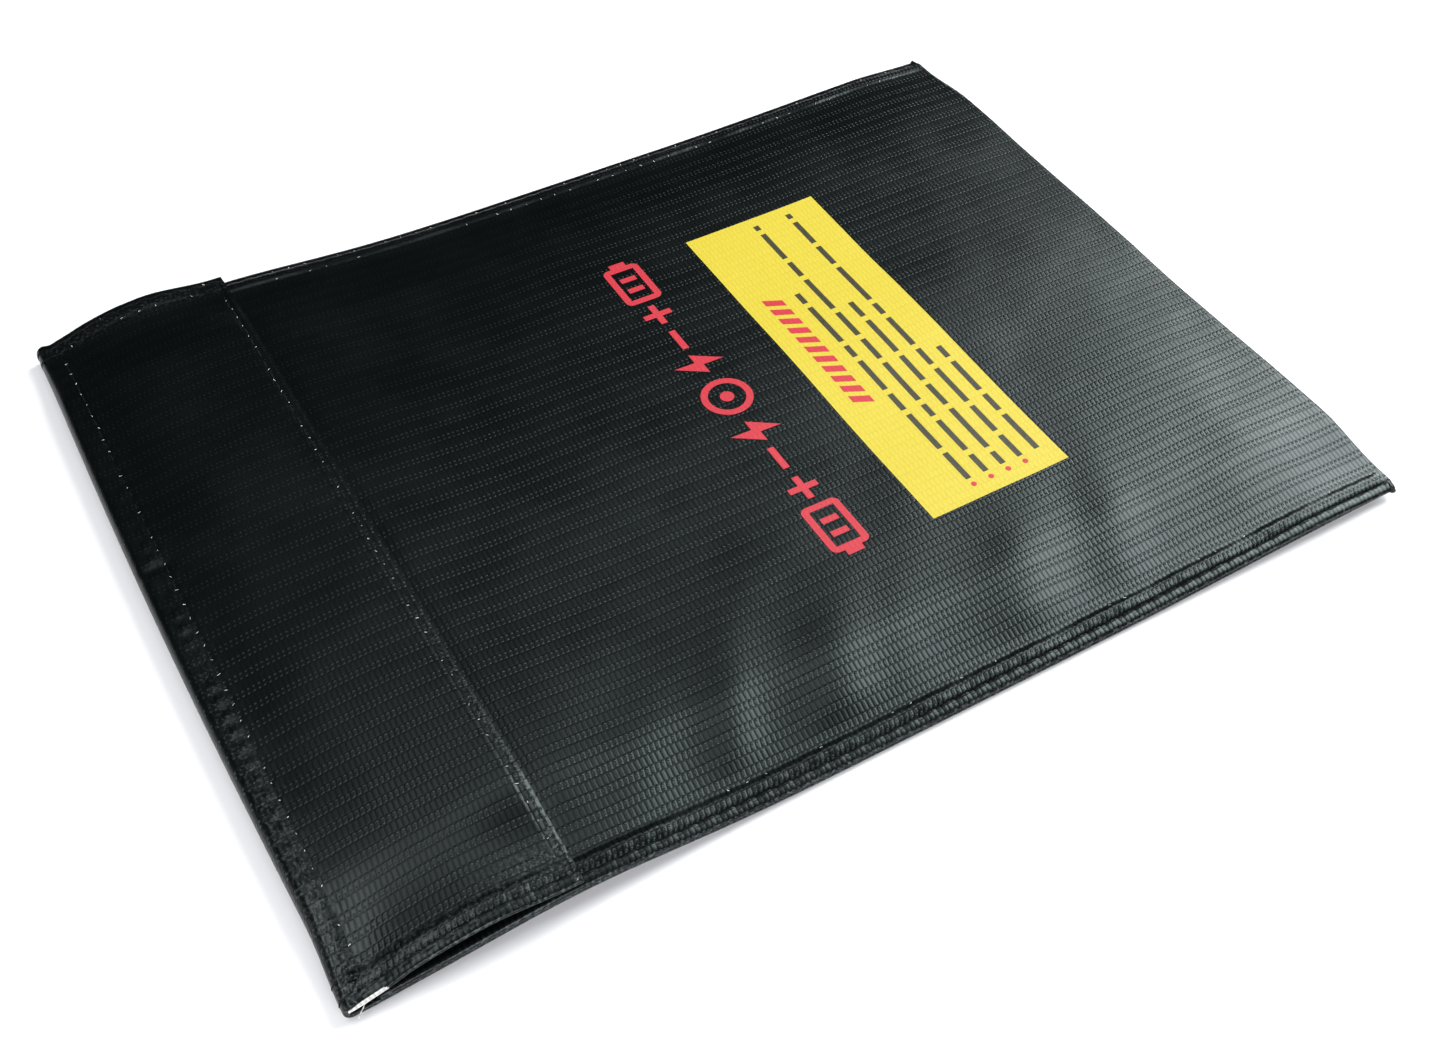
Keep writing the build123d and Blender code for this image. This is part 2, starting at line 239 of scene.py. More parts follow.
def flap(x, y, relief=True):
    """Outer face of the flap: it rises from the fold onto the tapes, and its sides stand off the seams."""
    over_tapes = wall(x, y, relief=False) + TAPE_STACK
    closing = smooth((-132 * MM - x) / (16 * MM)) * smooth(0.5 - y / EDGE_Y)
    gap = 0.7 + 2.8 * smooth((-97 * MM - x) / (22 * MM)) * (1 - closing)
    over_seams = ground(x, y) + SEAM_STACK + 2 * EDGE_R + gap * MM
    to_side = smooth((np.abs(y) - 84 * MM) / (30 * MM))
    high = over_tapes * (1 - to_side) + over_seams * to_side
    low = FOLD_TOP - FOLD_PINCH * smooth((np.abs(y) - 86 * MM) / (28 * MM))
    z = low + (high - low) * np.sin(math.pi / 2 * np.clip((x + 150 * MM) / (27 * MM), 0, 1))
    z = z - 0.35 * MM * bell((y - 17 * MM) / (1.3 * MM)) * (1 - smooth((x - HOOK_ROWS[0]) / (4 * MM)))
    if relief:
        z = z + seam_relief(x, y, 0.55)
        ends = 1 - smooth((np.abs(y) - INNER_ROW) / (2 * MM))
        along = y + PITCH / 2
        for row in HOOK_ROWS:
            groove = stitch_groove(x - row, along, 0.34 * MM, 0.45 * MM)
            z = z + ends * (groove + row_puckers(x - row, along))
        free = 0.07 + 0.17 * (1 - hole_share(along))
        z = z + ends * free * MM * bell((x - HOOK_ROWS[1] - 1.2 * MM) / (0.7 * MM))
        near = 0.35 + 0.65 * smooth((40 * MM - y) / (100 * MM))
        bars = near * (1 - hole_share(along)) * (1 + wobble(0 * x, y, FINE, 1.5))
        z = z + ends * 0.34 * MM * bars * bell((x - HOOK_ROWS[0] + 3.2 * MM) / (2.2 * MM))
    return z


def fold_x(y):
    """The fold at the mouth end bows out in the middle, and again at its near corner."""
    side = np.abs(y) / EDGE_Y
    corner = np.where(y < 0, -1.2 * smooth((side - 0.8) / 0.2), -0.3 * smooth((side - 0.8) / 0.2))
    return FOLD_X + (0.9 - 1.9 * np.cos(math.pi / 2 * side) + corner) * MM


# ------------------------------------------------------------------ sheets
def run_length(a, b):
    """Distance along a line of points, from its start."""
    return np.concatenate([[0], np.cumsum(np.hypot(np.diff(a), np.diff(b)))])


def across_hemmed(step):
    """Samples across the sheet, from one turned-in hem round the edge, over the face, to the other hem.
    Returns the place along Y, the depth below the outer face and the distance along the cloth."""
    edge = EDGE_Y - EDGE_R
    hem = np.linspace(SEAM_Y, edge, 5)[:-1]
    turn = np.linspace(math.pi, 0, 7)
    fine = np.arange(edge, EDGE_Y - 10.5 * MM, -0.5 * MM)[1:]
    middle = np.linspace(0, fine[-1], int(round(fine[-1] / step)) + 1)[:-1]
    y_half = np.concatenate([hem, edge + EDGE_R * np.sin(turn), fine, middle[::-1]])
    depth = np.concatenate([0 * hem + 2 * EDGE_R, EDGE_R * (1 - np.cos(turn)), 0 * fine, 0 * middle])
    along = run_length(y_half, depth)
    v_half = along[-1] - along
    y = np.concatenate([-y_half, y_half[:-1][::-1]])
    v = np.concatenate([-v_half, v_half[:-1][::-1]])
    return y, np.concatenate([depth, depth[:-1][::-1]]), v


def across_plain(half, step):
    """Samples across a flat-edged ply: the same three rows as across_hemmed."""
    y = np.linspace(-half, half, int(round(2 * half / step)) + 1)
    return y, 0 * y, y


def grid_quads(rows, cols, start=0, flip=False):
    """Corner indices of a grid of rows x cols points."""
    i, j = np.meshgrid(np.arange(rows - 1), np.arange(cols - 1), indexing="ij")
    a = (start + i * cols + j).ravel()
    quads = np.stack([a, a + cols, a + cols + 1, a + 1], 1)
    return quads[:, ::-1] if flip else quads


def rim_quads(rows, cols, inner):
    """Quads that close a shell between its outer grid and its inner one."""
    top = np.arange(cols)
    bottom = (rows - 1) * cols + top
    left = np.arange(rows) * cols
    right = left + cols - 1
    loop = np.concatenate([top, right[1:], bottom[::-1][1:], left[::-1][1:-1]])
    after = np.roll(loop, -1)
    return np.stack([loop, after, after + inner, loop + inner], 1)


def add_object(name, data):
    """A new object in the scene."""
    added = bpy.data.objects.new(name, data)
    bpy.context.scene.collection.objects.link(added)
    return added


def make_object(name, verts, quads, uv, material):
    """A mesh object from arrays. uv is in metres along the cloth, so that a weave keeps its scale."""
    mesh = bpy.data.meshes.new(name)
    mesh.vertices.add(len(verts))
    mesh.vertices.foreach_set("co", askew(np.asarray(verts)).astype(np.float32).ravel())
    mesh.loops.add(quads.size)
    mesh.loops.foreach_set("vertex_index", quads.ravel().astype(np.int32))
    mesh.polygons.add(len(quads))
    mesh.polygons.foreach_set("loop_start", np.arange(0, quads.size, quads.shape[1], dtype=np.int32))
    mesh.polygons.foreach_set("use_smooth", np.ones(len(quads), bool))
    layer = mesh.uv_layers.new(name="cloth")
    layer.data.foreach_set("uv", np.asarray(uv, np.float32)[quads.ravel()].ravel())
    mesh.update(calc_edges=True)
    mesh.materials.append(material)
    return add_object(name, mesh)


def sheet(name, path, across, material, inset=0.0, thickness=THICK):
    """A closed ply along a path of the bag. path(y) gives x, z and the distance along the cloth for each
    sample, as arrays of samples by places across; inset moves the ply's outer face inwards from the path."""
    y, depth, v = across
    x, z, u = path(y)
    slope = np.gradient(x, axis=0), np.gradient(z, axis=0)
    length = np.hypot(*slope) + 1e-12
    out_x, out_z = -slope[1] / length, slope[0] / length
    below = depth[None, :] + inset
    outer = np.stack([x - out_x * below, np.broadcast_to(y, x.shape), z - out_z * below], -1)
    normal = np.cross(np.gradient(outer, axis=0), np.gradient(outer, axis=1))
    normal /= np.linalg.norm(normal, axis=-1, keepdims=True) + 1e-15
    inner = outer - normal * thickness
    rows, cols = x.shape
    count = rows * cols
    verts = np.concatenate([outer.reshape(-1, 3), inner.reshape(-1, 3)])
    rim = rim_quads(rows, cols, count)
    quads = np.concatenate([grid_quads(rows, cols), grid_quads(rows, cols, count, True), rim])
    flat = np.stack([u, np.broadcast_to(v, u.shape)], -1).reshape(-1, 2)
    piece = make_object(name, verts, quads, np.concatenate([flat, flat]), material)
    sharpen_rim(piece, len(quads) - len(rim))
    flat_x, flat_y = x.ravel(), np.broadcast_to(y, x.shape).ravel()
    point_values(piece, "wear_and_highlight", np.tile(wear_and_highlight(flat_x, flat_y, name), 2))
    point_values(piece, "weave_depth", np.tile(weave_depth(flat_x, flat_y), 2))
    return piece


def point_values(piece, name, values):
    """Stores one number for each point of a mesh, for its material to read."""
    attribute = piece.data.attributes.new(name, "FLOAT", "POINT")
    attribute.data.foreach_set("value", np.asarray(values, np.float32))


def weave_depth(x, y):
    """How deep the weave stands: pressed smooth towards the fold's far corner, and deepest towards the
    closed end's near one. It also scales the painted shade in the weave's gaps and the painted highlight on
    its knots."""
    diagonal = (x / END_X - y / EDGE_Y) / 2
    return 0.16 + 0.84 * smooth((diagonal + 0.52) / 0.58) + 0.35 * smooth((diagonal - 0.1) / 0.5)


def wear_and_highlight(x, y, name):
    """How scuffed the coating is: beside the stitch rows, at the flap's free edge and most of all near its
    free
    corner. Painted highlights come on top: a light line along the side edges and a light band beside the
    flap's fold row."""
    side = np.abs(y)
    nearer = np.where(y < 0, 1.0, 0.7)
    seams = 0.3 * bell((side - INNER_ROW - 1.5 * MM) / (2.6 * MM)) * nearer
    # painted highlight: a thin light line along the side edges
    edge = 0.9 * bell((side - EDGE_Y) / (0.4 * MM)) * nearer
    if name != "flap_sheet":
        return 0.3 * seams + edge
    near = smooth((20 * MM - y) / (120 * MM))
    free_edge = 0.75 * near ** 2 * bell((x - HOOK_ROWS[1] - 1.3 * MM) / (0.8 * MM))
    # painted highlight: a light band between the flap's fold row and the fold, stronger towards the near
    # side
    fold_highlight = 0.45 * bell((x - HOOK_ROWS[0] + 3 * MM) / (3 * MM)) * near
    corner = 0.5 * bell((x - FLAP_END) / (16 * MM)) * bell((y + INNER_ROW - 3 * MM) / (4 * MM))
    return np.clip(seams + edge + free_edge + fold_highlight + corner, 0, 1)


def sharpen_rim(piece, first_rim_face):
    """Marks the cut edges of a ply sharp, so that the faces beside them shade as flat cloth."""
    mesh = piece.data
    smooth_faces = np.ones(len(mesh.polygons), bool)
    smooth_faces[first_rim_face:] = False
    mesh.polygons.foreach_set("use_smooth", smooth_faces)
    rim_edges = set()
    for face in mesh.polygons[first_rim_face:]:
        rim_edges.update(face.edge_keys)
    keys = mesh.edge_keys
    sharp = np.fromiter((key in rim_edges for key in keys), bool, len(keys))
    attribute = mesh.attributes.new("sharp_edge", "BOOLEAN", "EDGE")
    attribute.data.foreach_set("value", sharp)


def columns(values, y):
    """One value for each sample, repeated across the sheet."""
    return np.repeat(np.asarray(values)[:, None], len(y), 1)


def front_path(y):
    """Mouth edge, over the front wall, round the closed end, and a little way back underneath."""
    top = np.concatenate([[MOUTH_X + EDGE_R], np.arange(-141.25 * MM, END_ARC_X - MM, PITCH / 4)])
    bottom = np.linspace(END_ARC_X, SPLIT_X, 8)[1:]
    turn = np.linspace(0, math.pi, 11)
    z_top = wall(columns([END_ARC_X], y), y)
    z_low = ground(columns([END_ARC_X], y), y)
    radius = (z_top - z_low) / 2
    x_top, x_bottom = columns(top, y), columns(bottom, y)
    x_turn = END_ARC_X + radius * np.sin(turn)[:, None]
    z_turn = (z_top + z_low) / 2 + radius * np.cos(turn)[:, None]
    x = np.concatenate([x_top, x_turn, x_bottom])
    z = np.concatenate([wall(x_top, y), z_turn, ground(x_bottom, y)])
    return x, z, distance_along(x, z)


def back_path(y):
    """Underneath, from the closed end's sheet to the fold's."""
    x = columns(np.linspace(SPLIT_X, FOLD_SPLIT_X, 112), y)
    z = ground(x, y)
    return x, z, distance_along(x, z)


def spine(y):
    """The fold at the mouth end: where its bends start, its lower and upper height, and their radius."""
    low = ground(FOLD_X + 0 * y, y)
    high = flap(FOLD_X + 4 * MM + 0 * y, y, relief=False)
    radius = SPINE_SHARE * (high - low)
    return fold_x(y) + radius, low, high, radius


def fold_path(y):
    """Underneath at the mouth end, then up to the middle of the fold."""
    start_x, low, high, radius = spine(y)
    x_flat = FOLD_SPLIT_X + (start_x - FOLD_SPLIT_X) * np.linspace(0, 1, 6)[:-1, None]
    turn = np.linspace(0, math.pi / 2, 9)[:, None]
    x_turn = start_x - radius * np.sin(turn)
    z_turn = low + radius * (1 - np.cos(turn))
    middle = (low + high)[None, :] / 2
    x = np.concatenate([x_flat, x_turn, x_turn[-1:]])
    z = np.concatenate([ground(x_flat, y), z_turn, middle])
    return x, z, distance_along(x, z)


def flap_path(y):
    """From the middle of the fold over its upper half, to the flap's free edge."""
    start_x, low, high, radius = spine(y)
    turn = np.linspace(0, math.pi / 2, 9)[:, None]
    x_turn = start_x - radius * np.cos(turn)
    z_turn = high - radius * (1 - np.sin(turn))
    share = np.linspace(0, 1, 88)[1:, None]
    x_flat = start_x + (FLAP_END - start_x) * share
    plain = flap(x_flat, y, relief=False)
    meet = high + (plain - high) * smooth(share * 12)
    z_flat = meet + smooth(share * 30) * (flap(x_flat, y) - plain)
    middle = (low + high)[None, :] / 2
    x = np.concatenate([x_turn[:1], x_turn, x_flat])
    z = np.concatenate([middle, z_turn, z_flat])
    return x, z, distance_along(x, z)


def distance_along(x, z):
    """Distance along the cloth in the middle of the bag, the same for every place across."""
    mid = x.shape[1] // 2
    return columns(run_length(x[:, mid], z[:, mid]), x[0])


# ------------------------------------------------------------------ hiding CAD nodes, baking transforms; bend weights not applied
def dress(piece, slot, *nodes):
    """Hides the CAD nodes that a piece stands for. The piece and the material slot are not used."""
    if nodes:
        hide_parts(*nodes)


def set_blend(piece, weights):
    """Bakes a piece's transform into its mesh. The weights are not used."""
    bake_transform(piece)


def points_of(piece):
    co = np.zeros(len(piece.data.vertices) * 3, np.float32)
    piece.data.vertices.foreach_get("co", co)
    return co.reshape(-1, 3).astype(float)


def lift_with_wall(piece):
    """Bakes the piece's transform. The weights it works out, for a front wall that lifts in the middle of
    the mouth and stays down along both side seams, are not applied.
    """
    y = points_of(piece)[:, 1]
    set_blend(piece, smooth((SEAM_Y - np.abs(y)) / SEAM_Y))


def lie_back(x):
    """How fully the flap turns: opened right back, it curls up a little off the table."""
    return 1 - FLAP_CURL * np.clip((x - HOOK_ROWS[0]) / (FLAP_END - HOOK_ROWS[0]), 0, 1)


def ride_flap(piece):
    """For what is sewn to the flap: bakes its transform. Its weight for curling with the flap's own cloth is
    worked out but not applied.
    """
    set_blend(piece, lie_back(points_of(piece)[:, 0]))


def bend_fold(piece, body_a, body_b, upper):
    """Cloth round the fold: its weight follows how far it has turned through its quarter circle."""
    co = points_of(piece)
    centre_x, low, high, radius = spine(co[:, 1])
    if upper:
        turned = np.arctan2(co[:, 2] - (high - radius), np.maximum(centre_x - co[:, 0], 1e-6))
        weight = np.where(co[:, 0] > centre_x, lie_back(co[:, 0]), turned / (math.pi / 2))
    else:
        turned = np.arctan2(centre_x - co[:, 0], np.maximum(low + radius - co[:, 2], 1e-6))
        weight = np.where(co[:, 0] > centre_x, 0.0, turned / (math.pi / 2))
    set_blend(piece, np.clip(weight, 0, 1))


# ------------------------------------------------------------------ materials
class Graph:
    """A few words for building a material's nodes."""

    def __init__(self, name):
        self.material = bpy.data.materials.new(name)
        self.material.use_nodes = True
        self.nodes = self.material.node_tree.nodes
        self.links = self.material.node_tree.links
        self.shader = self.nodes["Principled BSDF"]

    def set(self, socket, value):
        if isinstance(value, bpy.types.NodeSocket):
            self.links.new(value, socket)
        else:
            socket.default_value = value

    def math(self, operation, a, b=0.0):
        node = self.nodes.new("ShaderNodeMath")
        node.operation = operation
        for socket, value in zip(node.inputs, (a, b)):
            self.set(socket, value)
        return node.outputs[0]

    def times(self, a, b):
        return self.math("MULTIPLY", a, b)

    def plus(self, a, b):
        return self.math("ADD", a, b)

    def ramp(self, value, low, high, to_low=0.0, to_high=1.0):
        """Moves value from low..high to to_low..to_high, with level ends."""
        node = self.nodes.new("ShaderNodeMapRange")
        node.interpolation_type = "SMOOTHSTEP"
        for socket, v in zip(node.inputs, (value, low, high, to_low, to_high)):
            self.set(socket, v)
        return node.outputs[0]

    def mix(self, share, a, b):
        node = self.nodes.new("ShaderNodeMix")
        node.data_type = "RGBA"
        self.set(node.inputs[0], share)
        self.set(node.inputs[6], a)
        self.set(node.inputs[7], b)
        return node.outputs[2]

    def cloth_mm(self):
        """Millimetres along and across the cloth."""
        uv = self.nodes.new("ShaderNodeUVMap")
        uv.uv_map = "cloth"
        split = self.nodes.new("ShaderNodeSeparateXYZ")
        self.links.new(uv.outputs[0], split.inputs[0])
        along, across = split.outputs[0], split.outputs[1]
        return self.times(along, 1000.0), self.times(across, 1000.0)

    def point_value(self, name):
        """A number stored on the mesh's points."""
        node = self.nodes.new("ShaderNodeAttribute")
        node.attribute_name = name
        return node.outputs["Fac"]

    def noise(self, u, v, scale, detail):
        """Noise with its grain size given in waves for each millimetre."""
        join = self.nodes.new("ShaderNodeCombineXYZ")
        self.set(join.inputs[0], u)
        self.set(join.inputs[1], v)
        node = self.nodes.new("ShaderNodeTexNoise")
        self.links.new(join.outputs[0], node.inputs["Vector"])
        node.inputs["Scale"].default_value = scale
        node.inputs["Detail"].default_value = detail
        return node.outputs["Fac"]

    def bump(self, height, distance, strength=1.0, normal=None):
        node = self.nodes.new("ShaderNodeBump")
        self.set(node.inputs["Height"], height)
        node.inputs["Distance"].default_value = distance
        node.inputs["Strength"].default_value = strength
        if normal is not None:
            self.links.new(normal, node.inputs["Normal"])
        return node.outputs[0]

    def finish(self, colour, roughness, normal=None, specular=0.5, sheen=0.0):
        self.set(self.shader.inputs["Base Color"], colour)
        self.set(self.shader.inputs["Roughness"], roughness)
        self.set(self.shader.inputs["Specular IOR Level"], specular)
        self.shader.inputs["Sheen Weight"].default_value = sheen
        if normal is not None:
            self.links.new(normal, self.shader.inputs["Normal"])
        return self.material


def weave(g):
    """The coated glass weave: across each repeat come a tall row of bars, a ridge of knots, and a short row
    of slanted bars that ends in a second line of knots and a groove. Returns the height and the knots."""
    u, v = g.cloth_mm()
    drift = g.noise(u, v, 0.02, 2.0)
    u = g.plus(u, g.times(g.noise(u, v, 0.3, 1.0), 0.2))
    v = g.plus(g.plus(v, g.times(drift, 2.5)), 500.0)
    place = g.math("SUBTRACT", 1.0, g.math("FRACT", g.math("DIVIDE", v, WEAVE_ROW)))
    column = g.math("DIVIDE", u, WEAVE_COLUMN)

    def off_centre(shift):
        """0 in the middle of a bar, 1 in the gap beside it."""
        saw = g.math("FRACT", g.plus(g.plus(column, shift), 100.0))
        return g.math("ABSOLUTE", g.math("SUBTRACT", g.times(saw, 2.0), 1.0))

    def rows(low, high):
        return g.math("MINIMUM", g.ramp(place, low, low + 0.06), g.ramp(place, high, high - 0.05))

    def dots(middle, shift, half_height, half_width):
        """Round knots, one on each bar."""
        up = g.math("DIVIDE", g.math("SUBTRACT", place, middle), half_height)
        aside = g.math("DIVIDE", off_centre(shift), half_width)
        square = g.plus(g.times(up, up), g.times(aside, aside))
        return g.ramp(square, 1.0, 0.0)

    lean = g.times(g.math("SUBTRACT", place, 0.3), 0.35)
    slant = g.times(g.math("SUBTRACT", place, 0.66), 0.8)
    tall = g.times(rows(0.0, 0.53), g.ramp(off_centre(lean), 1.0, 0.25))
    short = g.times(rows(0.55, 0.98), g.ramp(off_centre(slant), 1.0, 0.4))
    upper = dots(0.61, 0.0, 0.07, 0.55)
    lower = dots(0.885, 0.18, 0.065, 0.5)
    knots = g.math("MAXIMUM", upper, g.times(lower, 0.9))
    bars = g.math("MAXIMUM", g.times(tall, 0.22), g.times(short, 0.24))
    return g.plus(bars, g.times(knots, 0.95)), knots


def coated_cloth():
    """Black coating over the weave: the crowns shine, the gaps between them do not. The gaps carry painted
    shade, the knots a painted highlight that is partly wear, and the side edges and the band beside the
    flap's fold row painted highlights; real scuffs and a few flecks of dust.
    """
    g = Graph("bag_cloth")
    u, v = g.cloth_mm()
    height, knots = weave(g)
    blotch = g.noise(u, v, 0.05, 4.0)
    grain = g.noise(u, v, 3.0, 2.0)
    fleck = g.ramp(g.noise(u, v, 1.7, 1.0), 0.79, 0.84)
    depth = g.point_value("weave_depth")
    wear_and_highlight_here = g.point_value("wear_and_highlight")
    relief = g.times(height, depth)
    # painted shade: the weave's gaps are painted darker and its crowns lighter, more so where weave_depth is
    # larger
    shaded_gaps = g.mix(g.ramp(relief, 0.0, 0.3), (0.0008, 0.0012, 0.0013, 1), (0.0024, 0.0034, 0.0038, 1))
    # painted highlight on the knots, partly wear: lighter knots in random patches, more so where weave_depth
    # is larger
    rubbed_and_glint = g.times(depth, g.ramp(g.noise(u, v, 0.7, 2.0), 0.3, 0.6))
    glint_tipped = g.mix(g.times(knots, rubbed_and_glint), shaded_gaps, (0.0115, 0.014, 0.014, 1))
    dust_and_painted_light = g.mix(g.times(fleck, 0.25), glint_tipped, (0.11, 0.115, 0.115, 1))
    scratch = g.ramp(g.noise(u, v, 1.1, 4.0), 0.5, 0.66)
    # the scuff mask holds real scuffs and also the painted highlights along the side edges and beside the
    # flap's fold row
    scuff_and_highlight = g.times(wear_and_highlight_here, scratch)
    scuffs_and_highlights = g.mix(scuff_and_highlight, dust_and_painted_light, (0.075, 0.082, 0.082, 1))
    rough = g.ramp(blotch, 0.3, 0.7, 0.275, 0.33)
    g.set(g.shader.inputs["Specular Tint"], (0.87, 1.0, 1.0, 1))
    fine = g.bump(grain, 0.012 * MM, 0.6)
    crumpled = g.bump(g.times(wear_and_highlight_here, g.noise(u, v, 0.8, 3.0)), 0.2 * MM, 1.0, fine)
    normal = g.bump(relief, 0.13 * MM, 1.0, crumpled)
    shine = g.ramp(relief, 0.0, 0.26, 0.18, 0.3)
    return g.finish(scuffs_and_highlights, rough, normal, shine)


def print_ink(name, ink, worn_ink):
    """Screen print: the weave shows through it faintly and leaves its deepest lines thin."""
    g = Graph(name)
    u, v = g.cloth_mm()
    height, _ = weave(g)
    patch = g.noise(u, v, 0.5, 3.0)
    thin = g.times(g.ramp(height, 0.3, 0.0), g.ramp(patch, 0.2, 0.7, 0.08, 0.3))
    colour = g.mix(thin, ink, worn_ink)
    normal = g.bump(height, 0.022 * MM, 1.0)
    return g.finish(colour, g.ramp(patch, 0.3, 0.7, 0.42, 0.5), normal, 0.3)


def glass_liner():
    """Bare white glass cloth, a plain weave."""
    g = Graph("glass_liner")
    u, v = g.cloth_mm()
    warp = g.math("SINE", g.times(u, 2 * math.pi / 1.1))
    weft = g.math("SINE", g.times(v, 2 * math.pi / 1.1))
    plain = g.times(warp, weft)
    strand = g.noise(u, v, 2.2, 3.0)
    colour = g.mix(g.ramp(plain, -0.9, 0.9), (0.50, 0.50, 0.47, 1), (0.76, 0.76, 0.73, 1))
    normal = g.bump(plain, 0.08 * MM, 0.8, g.bump(strand, 0.03 * MM))
    return g.finish(colour, g.ramp(strand, 0.3, 0.7, 0.5, 0.65), normal, sheen=0.2)


def tape(name, dark, light, grain_scale):
    """Black nylon tape."""
    g = Graph(name)
    u, v = g.cloth_mm()
    rib = g.math("SINE", g.times(v, 2 * math.pi / 0.9))
    fuzz = g.noise(u, v, grain_scale, 5.0)
    colour = g.mix(g.ramp(fuzz, 0.3, 0.7), dark, light)
    height = g.plus(g.times(rib, 0.15), fuzz)
    return g.finish(colour, g.ramp(fuzz, 0.3, 0.7, 0.75, 0.55), g.bump(height, 0.15 * MM), sheen=0.15)


def thread_material():
    """Twisted black thread: fine slanted strands."""
    g = Graph("thread")
    u, v = g.cloth_mm()
    strands = g.math("SINE", g.plus(g.times(u, 9.0), g.times(v, 12.0)))
    colour = g.mix(g.ramp(strands, -1.0, 1.0), (0.003, 0.0035, 0.004, 1), (0.011, 0.012, 0.013, 1))
    return g.finish(colour, g.ramp(strands, -1.0, 1.0, 0.7, 0.6), g.bump(strands, 0.03 * MM), 0.12)


def floor_material():
    """Plain pale paper with a barely visible grain."""
    g = Graph("floor")
    place = g.nodes.new("ShaderNodeTexCoord").outputs["Object"]
    grain = g.nodes.new("ShaderNodeTexNoise")
    g.links.new(place, grain.inputs["Vector"])
    grain.inputs["Scale"].default_value = 60.0
    colour = g.mix(grain.outputs["Fac"], (0.90, 0.90, 0.905, 1), (0.915, 0.915, 0.92, 1))
    return g.finish(colour, 0.7, specular=0.2)


# ------------------------------------------------------------------ thread, print and tapes
def tube(centres, radius, sides=6):
    """Ring points, quads and cloth distances of a thin tube along a line of points."""
    along = np.gradient(centres, axis=0)
    along /= np.linalg.norm(along, axis=1, keepdims=True)
    aside = np.cross(along, (0, 0, 1.0))
    aside /= np.linalg.norm(aside, axis=1, keepdims=True) + 1e-12
    above = np.cross(aside, along)
    angle = np.arange(sides) * 2 * math.pi / sides
    ring = aside[:, None] * np.cos(angle)[None, :, None] + above[:, None] * np.sin(angle)[None, :, None]
    verts = (centres[:, None] + radius * ring).reshape(-1, 3)
    count = len(centres)
    i, j = np.meshgrid(np.arange(count - 1), np.arange(sides), indexing="ij")
    a, b = i * sides + j, i * sides + (j + 1) % sides
    quads = np.stack([a, b, b + sides, a + sides], -1).reshape(-1, 4)
    length = np.concatenate([[0], np.cumsum(np.linalg.norm(np.diff(centres, axis=0), axis=1))])
    uv = np.stack(np.broadcast_arrays(length[:, None], angle[None, :] * radius), -1).reshape(-1, 2)
    return verts, quads, uv


def join(parts):
    """One set of arrays from several, each of points, quads and cloth distances."""
    verts, quads, uvs, start = [], [], [], 0
    for v, q, uv in parts:
        verts.append(v)
        quads.append(q + start)
        uvs.append(uv)
        start += len(v)
    return np.concatenate(verts), np.concatenate(quads), np.concatenate(uvs)


def stitch_row(start, end, surface, hole_offset, outward, radius=THREAD_RADIUS):
    """Lockstitch thread from start to end: it lies on the surface and dives into a hole at each pitch."""
    start, end = np.array(start), np.array(end)
    length = np.linalg.norm(end - start)
    t = np.linspace(0, 1, int(round(length / PITCH * 12)) + 1)
    x, y = (start[:, None] + (end - start)[:, None] * t)
    along = np.abs(end - start) @ np.stack([x, y]) / length
    phase = (along + hole_offset) / PITCH
    arch = np.abs(np.sin(math.pi * phase)) ** 0.7
    sway = 0.1 * MM * np.sin(2 * math.pi * phase / 2 + 0.7)
    aside = np.array([-(end - start)[1], (end - start)[0]]) / length
    z = surface(x, y) + outward * (0.44 * arch - 0.42) * MM
    centres = np.stack([x + aside[0] * sway, y + aside[1] * sway, z], 1)
    return tube(centres, radius)


def thread_piece(name, node, rows, material):
    """One piece of thread from its rows."""
    piece = make_object(name, *join(rows), material)
    dress(piece, "thread", node)
    return piece


def top_faces(node):
    """The outline of a print node, as a flat mesh cut finely enough to lie on a curved wall."""
    flat = bmesh.new()
    flat.from_mesh(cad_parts[node].data)
    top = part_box(node)[1].z
    lowest = top - 0.02 * MM
    sides = [face for face in flat.faces if face.normal.z < 0.9 or face.calc_center_median().z < lowest]
    bmesh.ops.delete(flat, geom=sides, context="FACES")
    bmesh.ops.remove_doubles(flat, verts=flat.verts, dist=0.001 * MM)
    bmesh.ops.dissolve_limit(flat, angle_limit=0.01, verts=flat.verts, edges=flat.edges)
    low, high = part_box(node)
    for axis in (0, 1):
        normal = [0, 0, 0]
        normal[axis] = 1
        for place in np.arange(low[axis] + 2 * MM, high[axis], 2 * MM):
            where = [0, 0, 0]
            where[axis] = place
            geometry = flat.verts[:] + flat.edges[:] + flat.faces[:]
            bmesh.ops.bisect_plane(flat, geom=geometry, plane_co=where, plane_no=normal, dist=1e-7)
    return flat


def print_piece(node, slot, material, lift):
    """A film of ink with its own small thickness, laid on the wall."""
    film = top_faces(node)
    bmesh.ops.triangulate(film, faces=film.faces)
    solid = bmesh.ops.extrude_face_region(film, geom=film.faces[:])
    tops = {item for item in solid["geom"] if isinstance(item, bmesh.types.BMVert)}
    for vert in film.verts:
        height = lift if vert in tops else lift - 0.05 * MM
        vert.co.z = wall(np.array([vert.co.x]), np.array([vert.co.y]))[0] + height
        vert.co = Vector(askew(np.array(vert.co)))
    bmesh.ops.recalc_face_normals(film, faces=film.faces)
    layer = film.loops.layers.uv.new("cloth")
    for face in film.faces:
        for corner in face.loops:
            corner[layer].uv = (corner.vert.co.x - MOUTH_X, corner.vert.co.y)
    mesh = bpy.data.meshes.new(node + "_film")
    film.to_mesh(mesh)
    film.free()
    mesh.materials.append(material)
    piece = add_object(node + "_film", mesh)
    dress(piece, slot, node)
    lift_with_wall(piece)


